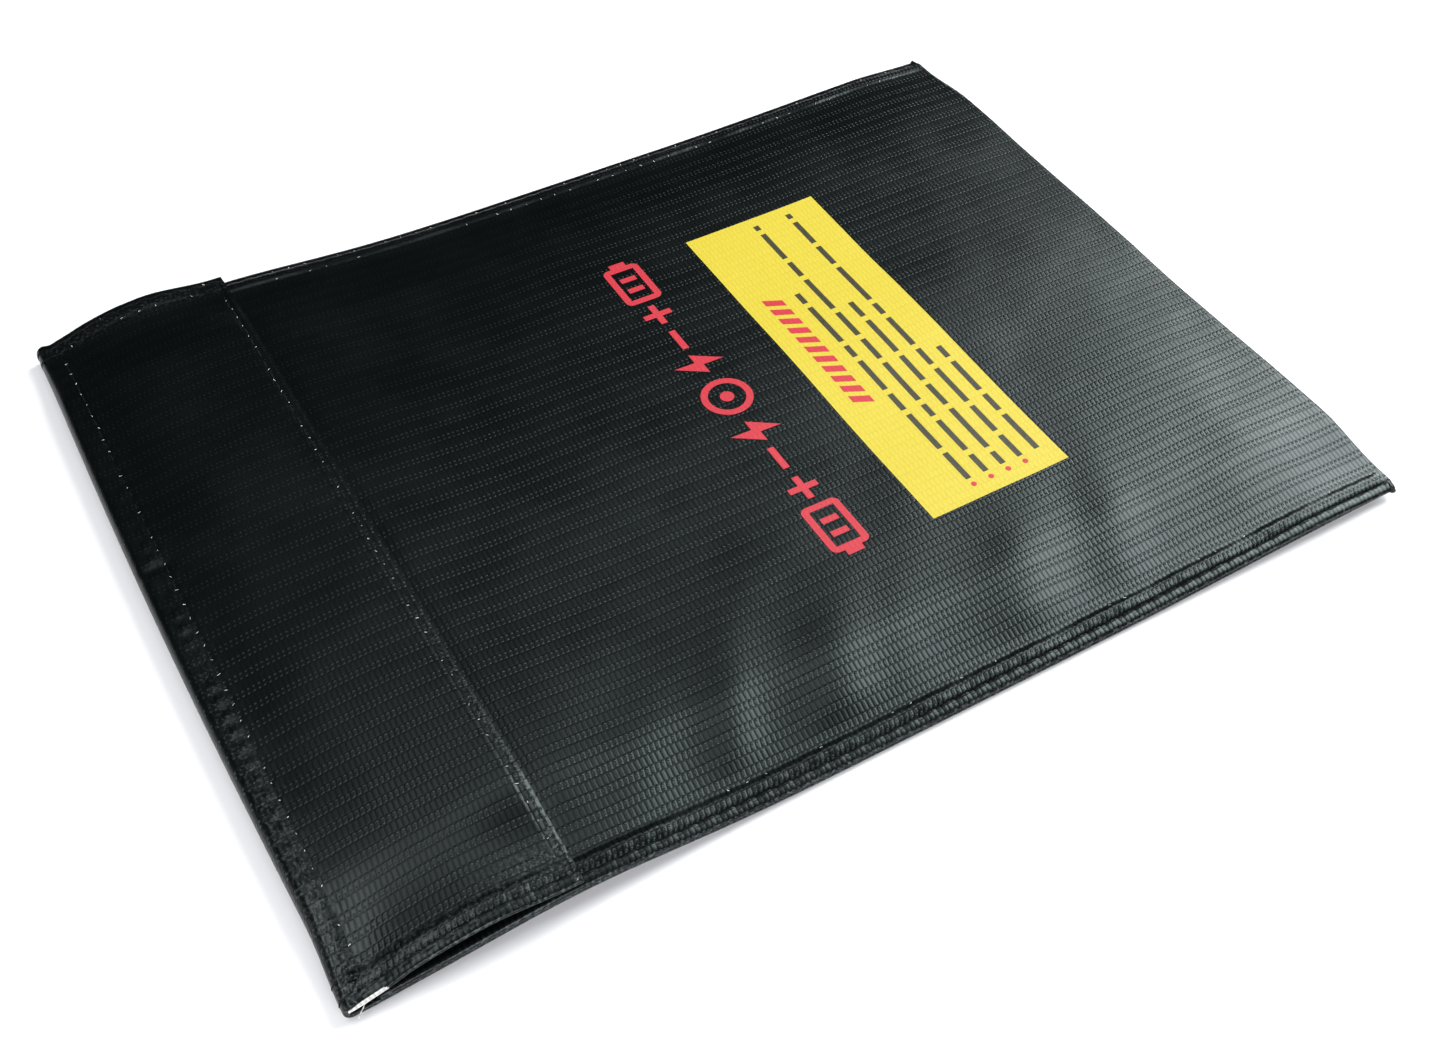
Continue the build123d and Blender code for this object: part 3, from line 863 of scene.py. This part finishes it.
def strip(name, x_range, half, surface, low, high, material, step, rough=0.0):
    """A closed slab between two heights over a surface, with an uneven upper face if rough is given."""
    x = np.linspace(*x_range, int(round((x_range[1] - x_range[0]) / step)) + 1)
    y = np.linspace(-half, half, int(round(2 * half / step)) + 1)
    gx, gy = np.meshgrid(x, y, indexing="ij")
    base = surface(gx, gy)
    uneven = rough * np.random.default_rng(1).uniform(-1, 1, base.shape)
    top = np.stack([gx, gy, base + high + uneven], -1).reshape(-1, 3)
    bottom = np.stack([gx, gy, base + low], -1).reshape(-1, 3)
    rows, cols = gx.shape
    count = rows * cols
    faces = grid_quads(rows, cols), grid_quads(rows, cols, count, True), rim_quads(rows, cols, count)
    uv = np.stack([gx, gy], -1).reshape(-1, 2)
    verts = np.concatenate([top, bottom])
    return make_object(name, verts, np.concatenate(faces), np.concatenate([uv, uv]), material)


def under_flap(x, y):
    """Inner face of the flap's outer ply."""
    return flap(x, y, relief=False) - THICK - PLY_GAP


def plain_wall(x, y):
    return wall(x, y, relief=False)


def inside_back(x, y):
    """Inner face of the back wall."""
    return ground(x, y) + THICK + PLY_GAP


def hooks(name, x_range, half, material):
    """Rows of small bent hooks that hang from the hook tape."""
    rng = np.random.default_rng(3)
    places = np.arange(x_range[0], x_range[1], 1.5 * MM), np.arange(-half, half, 2.1 * MM)
    x, y = (grid.ravel() for grid in np.meshgrid(*places, indexing="ij"))
    x = x + rng.uniform(-0.15, 0.15, x.size) * MM
    y = y + rng.uniform(-0.15, 0.15, y.size) * MM
    root = under_flap(x, y) - LINER - TAPE_BACKING
    lean = np.where(rng.random(x.size) < 0.5, 1.0, -1.0)
    profile = np.array([(0, 0.02), (0, -0.35), (0.08, -0.58), (0.3, -0.66), (0.45, -0.48)]) * MM
    radius = np.array([0.13, 0.12, 0.11, 0.1, 0.07]) * MM
    angle = np.arange(4) * math.pi / 2 + math.pi / 4
    centre_x = x[:, None] + lean[:, None] * profile[:, 0]
    centre_z = root[:, None] + profile[:, 1]
    ring_x = centre_x[:, :, None] + radius[:, None] * np.cos(angle)
    ring_y = y[:, None, None] + radius[:, None] * np.sin(angle)
    ring_z = np.broadcast_to(centre_z[:, :, None], ring_x.shape)
    verts = np.stack([ring_x, ring_y, ring_z], -1).reshape(-1, 3)
    level, side = np.meshgrid(np.arange(4), np.arange(4), indexing="ij")
    a, b = level * 4 + side, level * 4 + (side + 1) % 4
    walls = np.stack([a, a + 4, b + 4, b], -1).reshape(-1, 4)
    one = np.concatenate([walls, [[16, 19, 18, 17]], [[0, 1, 2, 3]]])
    quads = (one[None] + 20 * np.arange(x.size)[:, None, None]).reshape(-1, 4)
    return make_object(name, verts, quads, verts[:, :2], material)


# ------------------------------------------------------------------ the pieces
def build_sheets(cloth):
    """The one black sheet, in the four stretches that would move apart as the bag opens."""
    front = sheet("front_sheet", front_path, across_hemmed(1.7 * MM), cloth)
    dress(front, "coated_cloth", "front_cloth", "near_front_margin", "far_front_margin")
    lift_with_wall(front)

    back = sheet("back_sheet", back_path, across_hemmed(2.4 * MM), cloth)
    dress(back, "coated_cloth", "back_cloth", "near_seam_hem", "far_seam_hem")
    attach(back, "bag")

    fold = sheet("fold_sheet", fold_path, across_hemmed(1.3 * MM), cloth)
    dress(fold, "coated_cloth", "fold_cloth")
    bend_fold(fold, "bag", "fold", upper=False)

    flap_piece = sheet("flap_sheet", flap_path, across_hemmed(1.3 * MM), cloth)
    dress(flap_piece, "coated_cloth", "flap_cloth", "flap_near_hem", "flap_far_hem")
    bend_fold(flap_piece, "fold", "flap", upper=True)


def build_liners(liner):
    """The white glass cloth inside, one ply for each black one."""
    half = SEAM_Y - 0.5 * MM
    inset = THICK + PLY_GAP
    for name, path, bodies in (("fold", fold_path, ("bag", "fold")), ("flap", flap_path, ("fold", "flap"))):
        piece = sheet(name + "_lining", path, across_plain(half, 4 * MM), liner, inset, LINER)
        dress(piece, "glass_liner", name + "_liner")
        bend_fold(piece, *bodies, upper=name == "flap")
    back = strip("back_lining", (FOLD_SPLIT_X, 144 * MM), half, inside_back, 0, LINER, liner, 3 * MM)
    dress(back, "glass_liner", "back_liner")
    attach(back, "bag")
    low = -THICK - PLY_GAP - LINER
    front_x = (MOUTH_X + MM, 143 * MM)
    front = strip("front_lining", front_x, half, plain_wall, low, low + LINER, liner, 3 * MM)
    dress(front, "glass_liner", "front_liner")
    lift_with_wall(front)


def build_mouth_edge(cloth):
    """The mouth's turned-in edge, wrapped round the end of the front wall."""
    def path(y):
        turn = np.linspace(-math.pi / 2, math.pi / 2, 9)[:, None]
        x_back = columns(np.linspace(MOUTH_HEM_X, MOUTH_X + EDGE_R, 7)[:-1], y)
        top = plain_wall(columns([MOUTH_X + EDGE_R], y), y)
        x_turn = MOUTH_X + EDGE_R - EDGE_R * np.cos(turn) + 0 * top
        z_turn = top - EDGE_R + EDGE_R * np.sin(turn)
        x = np.concatenate([x_back, x_turn])
        z = np.concatenate([plain_wall(x_back, y) - 2 * EDGE_R, z_turn])
        return x, z, distance_along(x, z)

    edge = sheet("mouth_edge", path, across_plain(SEAM_Y - MM, 3 * MM), cloth)
    dress(edge, "coated_cloth", "mouth_hem")
    lift_with_wall(edge)


def build_tapes(loop, hook):
    """Loop tape on the front wall and hook tape under the flap."""
    half = LOOP_HI.y
    loop_x = (LOOP_LO.x, LOOP_HI.x)
    piece = strip("loop_tape_backing", loop_x, half, plain_wall, 0.02 * MM, TAPE_BACKING, hook, 1.5 * MM)
    dress(piece, "loop_tape")
    lift_with_wall(piece)
    pile_x = (LOOP_LO.x + 3 * MM, LOOP_HI.x - 3 * MM)
    pile = strip("loop_tape_pile", pile_x, half, plain_wall, 0.45 * MM, 1.15 * MM, loop, 0.6 * MM, 0.16 * MM)
    dress(pile, "loop_tape", "loop_tape")
    lift_with_wall(pile)
    low = -LINER - TAPE_BACKING
    half = HOOK_HI.y
    hook_x = (HOOK_LO.x, HOOK_HI.x)
    backing = strip("hook_tape_backing", hook_x, half, under_flap, low, -LINER, hook, 1.5 * MM)
    dress(backing, "hook_tape", "hook_tape")
    ride_flap(backing)
    field = hooks("hook_tape_hooks", (HOOK_LO.x + 3.5 * MM, HOOK_HI.x - 3.5 * MM), half - MM, hook)
    dress(field, "hook_tape")
    ride_flap(field)


def sunk_ground(x, y):
    """Thread under the bag is pressed into the cloth, clear of the table."""
    return ground(x, y) + 0.3 * MM


def below_hook_tape(x, y):
    return under_flap(x, y) - LINER - TAPE_BACKING


def below_flap_hem(x, y):
    return flap(x, y, relief=False) - 2 * EDGE_R


def above_loop_tape(x, y):
    return plain_wall(x, y) + TAPE_BACKING


def below_front_lining(x, y):
    return plain_wall(x, y) - THICK - LINER - PLY_GAP


def below_mouth_hem(x, y):
    return plain_wall(x, y) - 2 * EDGE_R


def fold_thread(y):
    """The side rows carry on round the upper half of the fold."""
    start_x, low, high, radius = (float(v[0]) for v in spine(np.array([y])))
    turn = np.linspace(0, math.pi / 2, 13)
    x = np.concatenate([start_x - radius * np.sin(turn), np.full(4, start_x - radius)])
    straight = np.linspace(high - radius, (low + high) / 2, 5)[1:]
    z = np.concatenate([high - radius * (1 - np.cos(turn)), straight])
    along = run_length(x, z)
    lift = (0.4 * np.abs(np.sin(math.pi * along / PITCH)) ** 0.45 - 0.36) * MM
    out_x = np.concatenate([-np.sin(turn), -np.ones(4)])
    out_z = np.concatenate([np.cos(turn), np.zeros(4)])
    return tube(np.stack([x + out_x * lift, 0 * x + y, z + out_z * lift], 1), THREAD_RADIUS)


def build_seam_threads(thread):
    """The two rows of each side seam, above the bag and under it."""
    for name, side in (("near", -1), ("far", 1)):
        needle = [
            stitch_row((ROWS_START, side * y), (ROWS_END, side * y), wall, 0, 1, radius)
            for y, radius in ((INNER_ROW, THIN_RADIUS), (OUTER_ROW, THREAD_RADIUS))
        ]
        bobbin = [
            stitch_row((ROWS_START, side * y), (-ROWS_START, side * y), sunk_ground, PITCH / 2, -1)
            for y in (INNER_ROW, OUTER_ROW)
        ]
        for kind, rows in (("needle", needle), ("bobbin", bobbin)):
            node = f"{name}_seam_{kind}_thread"
            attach(thread_piece(f"{name}_seam_{kind}_rows", node, rows, thread), "bag")


def build_flap_threads(thread):
    """The rows that hold the hook tape, and the side rows, which carry on round the fold."""
    tape_needle = [
        stitch_row((x, -ROW_HALF), (x, ROW_HALF), flap, PITCH / 2, 1, radius)
        for x, radius in zip(HOOK_ROWS, (THIN_RADIUS, THREAD_RADIUS))
    ]
    tape_bobbin = [stitch_row((x, -ROW_HALF), (x, ROW_HALF), below_hook_tape, 0, -1) for x in HOOK_ROWS]
    sides = [side * y for side in (-1, 1) for y in (INNER_ROW, OUTER_ROW)]
    start_x, end_x = -145 * MM, FLAP_END - 1.5 * MM
    side_needle = [stitch_row((start_x, y), (end_x, y), flap, 0, 1) for y in sides]
    start_x = start_x + 3 * MM
    side_bobbin = [stitch_row((start_x, y), (end_x, y), below_flap_hem, 0, -1) for y in sides]
    for name, rows in (
        ("flap_tape_needle", tape_needle),
        ("flap_tape_bobbin", tape_bobbin),
        ("flap_side_needle", side_needle),
        ("flap_side_bobbin", side_bobbin),
    ):
        ride_flap(thread_piece(name + "_rows", name + "_thread", rows, thread))
    rows = [fold_thread(y) for y in sides]
    piece = thread_piece("fold_side_thread_rows", "fold_side_thread", rows, thread)
    bend_fold(piece, "fold", "flap", upper=True)


def build_wall_threads(thread):
    """The rows of the loop tape and of the mouth."""
    for name, lines, surface, outward, node in (
        ("loop_tape_needle_rows", LOOP_ROWS, above_loop_tape, 1, "loop_tape_needle_thread"),
        ("loop_tape_bobbin_rows", LOOP_ROWS, below_front_lining, -1, "loop_tape_bobbin_thread"),
        ("mouth_needle_row", (MOUTH_ROW,), plain_wall, 1, "mouth_needle_thread"),
        ("mouth_bobbin_row", (MOUTH_ROW,), below_mouth_hem, -1, "mouth_bobbin_thread"),
    ):
        rows = [stitch_row((x, -ROW_HALF), (x, ROW_HALF), surface, 0, outward) for x in lines]
        lift_with_wall(thread_piece(name, node, rows, thread))


def pulled_yarns(name, rows, surface, share, seed, liner, body):
    """Ends of the liner's white yarn that the needle pulled up through some of its holes."""
    rng = np.random.default_rng(seed)
    t = np.linspace(-1, 1, 4)[:, None]
    strands = []
    for start, end, offset in rows:
        start, end = np.array(start), np.array(end)
        axis = 0 if abs(end[0] - start[0]) > abs(end[1] - start[1]) else 1
        first, last = sorted((start[axis], end[axis]))
        for count in range(math.ceil((first + offset) / PITCH), math.floor((last + offset) / PITCH) + 1):
            if rng.random() > share:
                continue
            place = np.array([start[0], start[1]])
            place[axis] = count * PITCH - offset
            place = place + rng.uniform(-0.2, 0.2, 2) * MM
            angle = rng.uniform(0, math.pi)
            reach = rng.uniform(0.15, 0.42) * MM
            flat = place + t * reach * np.array([math.cos(angle), math.sin(angle)])
            z = surface(flat[:, 0], flat[:, 1]) + 0.16 * MM + 0.08 * MM * (1 - t[:, 0] ** 2)
            strands.append(tube(np.column_stack([flat, z]), rng.uniform(0.04, 0.085) * MM, 5))
    piece = make_object(name, *join(strands), liner)
    dress(piece, "glass_liner")
    if body == "flap":
        ride_flap(piece)
    else:
        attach(piece, body)


def build_pulled_yarns(liner):
    """Pulled yarn on the flap's rows, at its near free corner, and on the two side seams."""
    rows = [((x, -ROW_HALF), (x, ROW_HALF), PITCH / 2) for x in HOOK_ROWS]
    pulled_yarns("flap_row_yarns", rows, flap, 0.85, 21, liner, "flap")
    ends = (-143 * MM, FLAP_END - 2 * MM)
    rows = [((ends[0], y), (ends[1], y), 0) for y in (INNER_ROW, OUTER_ROW)]
    pulled_yarns("flap_side_yarns", rows, flap, 0.6, 22, liner, "flap")
    corner_x, corner_y = FLAP_END - MM, 0.8 * MM - EDGE_Y
    rows = [((corner_x - MM, corner_y), (corner_x + 0.1 * MM, corner_y), -corner_x)]
    pulled_yarns("flap_corner_yarn", rows, flap, 1.0, 25, liner, "flap")
    ends = (FLAP_END + 2 * MM, 146 * MM)
    rows = [((ends[0], y), (ends[1], y), 0) for y in (INNER_ROW, OUTER_ROW)]
    pulled_yarns("far_seam_yarns", rows, wall, 0.6, 23, liner, "bag")
    rows = [((ends[0], -INNER_ROW), (ends[1], -INNER_ROW), 0)]
    pulled_yarns("near_seam_yarns", rows, wall, 0.3, 24, liner, "bag")


def build_frayed_end(liner):
    """The cut end of the glass liner that shows at the fold's near corner, and one loose thread."""
    rng = np.random.default_rng(8)
    t = np.linspace(0, 1, 9)[:, None]
    strands = []
    for index in range(9):
        start = np.array([-149.2, -114.9 - 0.3 * rng.random(), 3.0 + 0.06 * index]) * MM
        end = np.array([-141.2 + 1.2 * rng.random(), -115.0 - 0.3 * rng.random(), 5.2 + 0.12 * index]) * MM
        bend = np.sin(math.pi * t) * rng.uniform(-0.25, 0.25, 3) * MM
        strands.append(tube(start + (end - start) * t + bend, 0.2 * MM))
    loose = np.array([-145.5, -114.6, 3.6]) * MM + t * np.array([-2.4, -1.8, -3.0]) * MM
    loose = loose + np.sin(2 * math.pi * t) * np.array([0.3, 0, 0.2]) * MM
    strands.append(tube(loose, 0.12 * MM))
    piece = make_object("frayed_liner_end", *join(strands), liner)
    dress(piece, "glass_liner")
    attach(piece, "fold")


def build_print():
    """The print on the front wall."""
    yellow = print_ink("print_yellow", (0.56, 0.445, 0.034, 1), (0.34, 0.26, 0.018, 1))
    red = print_ink("print_red", (0.49, 0.029, 0.043, 1), (0.25, 0.015, 0.02, 1))
    dark = print_ink("print_dark", (0.03, 0.027, 0.015, 1), (0.08, 0.065, 0.012, 1))
    print_piece("print_panel", "print_yellow", yellow, 0.07 * MM)
    print_piece("print_marks", "print_red", red, 0.07 * MM)
    print_piece("print_bars", "print_dark", dark, 0.13 * MM)
    print_piece("print_heading", "print_red", red, 0.13 * MM)
    print_piece("print_bullets", "print_red", red, 0.13 * MM)


# ------------------------------------------------------------------ studio
CAMERA_AZIMUTH = -30.9
CAMERA_ELEVATION = 47.92
CAMERA_DISTANCE = 0.45
CAMERA_TARGET = Vector((-0.0138, -0.0353, 0))
CAMERA_ROLL = 0.79
CAMERA_LENS = 43.2

COOL = (0.95, 1.0, 1.0)
VIOLET = (0.97, 0.96, 1.0)


def make_camera():
    azimuth, elevation = math.radians(CAMERA_AZIMUTH), math.radians(CAMERA_ELEVATION)
    level = math.cos(elevation)
    back = Vector((math.sin(azimuth) * level, -math.cos(azimuth) * level, math.sin(elevation)))
    camera = add_object("camera", bpy.data.cameras.new("camera"))
    turn = (-back).to_track_quat("-Z", "Y").to_matrix().to_4x4()
    roll = Matrix.Rotation(math.radians(CAMERA_ROLL), 4, "Z")
    camera.matrix_world = Matrix.Translation(CAMERA_TARGET + back * CAMERA_DISTANCE) @ turn @ roll
    camera.data.lens = CAMERA_LENS
    camera.data.clip_start = 0.01
    bpy.context.scene.camera = camera


def soft_light(name, azimuth, elevation, distance, width, height, radiance, colour=(1, 1, 1)):
    """A rectangular softbox that faces the bag. azimuth is counted from +X towards +Y."""
    light = bpy.data.lights.new(name, "AREA")
    light.shape = "RECTANGLE"
    light.size, light.size_y = width, height
    light.energy = radiance * math.pi * width * height
    light.color = colour
    lamp = add_object(name, light)
    a, e = math.radians(azimuth), math.radians(elevation)
    towards = Vector((math.cos(a) * math.cos(e), math.sin(a) * math.cos(e), math.sin(e)))
    lamp.location = towards * distance
    lamp.rotation_euler = towards.to_track_quat("Z", "Y").to_euler()


def make_world():
    """A dim room: darkest at the horizon, a little lighter overhead."""
    world = bpy.data.worlds.new("room")
    bpy.context.scene.world = world
    world.use_nodes = True
    nodes, links = world.node_tree.nodes, world.node_tree.links
    split = nodes.new("ShaderNodeSeparateXYZ")
    links.new(nodes.new("ShaderNodeTexCoord").outputs["Generated"], split.inputs[0])
    height = nodes.new("ShaderNodeMapRange")
    links.new(split.outputs[2], height.inputs[0])
    for socket, value in zip(height.inputs[1:5], (0.35, 1.0, 0.03, 0.1)):
        socket.default_value = value
    background = nodes["Background"]
    background.inputs[0].default_value = (0.84, 0.97, 1.08, 1)
    links.new(height.outputs[0], background.inputs[1])


def make_studio():
    reach = 3.0
    corners = np.array([(-reach, -reach, 0), (reach, -reach, 0), (reach, reach, 0), (-reach, reach, 0)])
    floor = make_object("floor", corners, np.array([[0, 1, 2, 3]]), corners[:, :2], floor_material())
    soft_light("key", 13.5, 45, 1.3, 0.86, 0.7, 10.2, COOL)
    soft_light("key_low", 15, 22, 1.3, 0.55, 0.38, 11.0, COOL)
    soft_light("high_left", 158, 64, 1.3, 0.5, 0.5, 6.5)
    soft_light("top", 82, 66, 1.3, 0.5, 0.4, 3.0, COOL)
    soft_light("fill_left", -170, 22, 1.3, 0.9, 0.4, 6.5, VIOLET)
    soft_light("fill_front", -97, 24, 1.3, 1.0, 0.5, 8.5, VIOLET)
    make_world()
    make_camera()
    bpy.context.scene.view_settings.view_transform = "Standard"


def build_bag():
    cloth = coated_cloth()
    liner = glass_liner()
    loop = tape("loop_pile", (0.008, 0.008, 0.009, 1), (0.03, 0.03, 0.033, 1), 3.0)
    hook = tape("hook_nylon", (0.006, 0.006, 0.007, 1), (0.02, 0.02, 0.022, 1), 1.2)
    build_sheets(cloth)
    build_liners(liner)
    build_mouth_edge(cloth)
    build_tapes(loop, hook)
    thread = thread_material()
    build_seam_threads(thread)
    build_flap_threads(thread)
    build_wall_threads(thread)
    build_pulled_yarns(liner)
    build_frayed_end(liner)
    build_print()


build_bag()
make_studio()
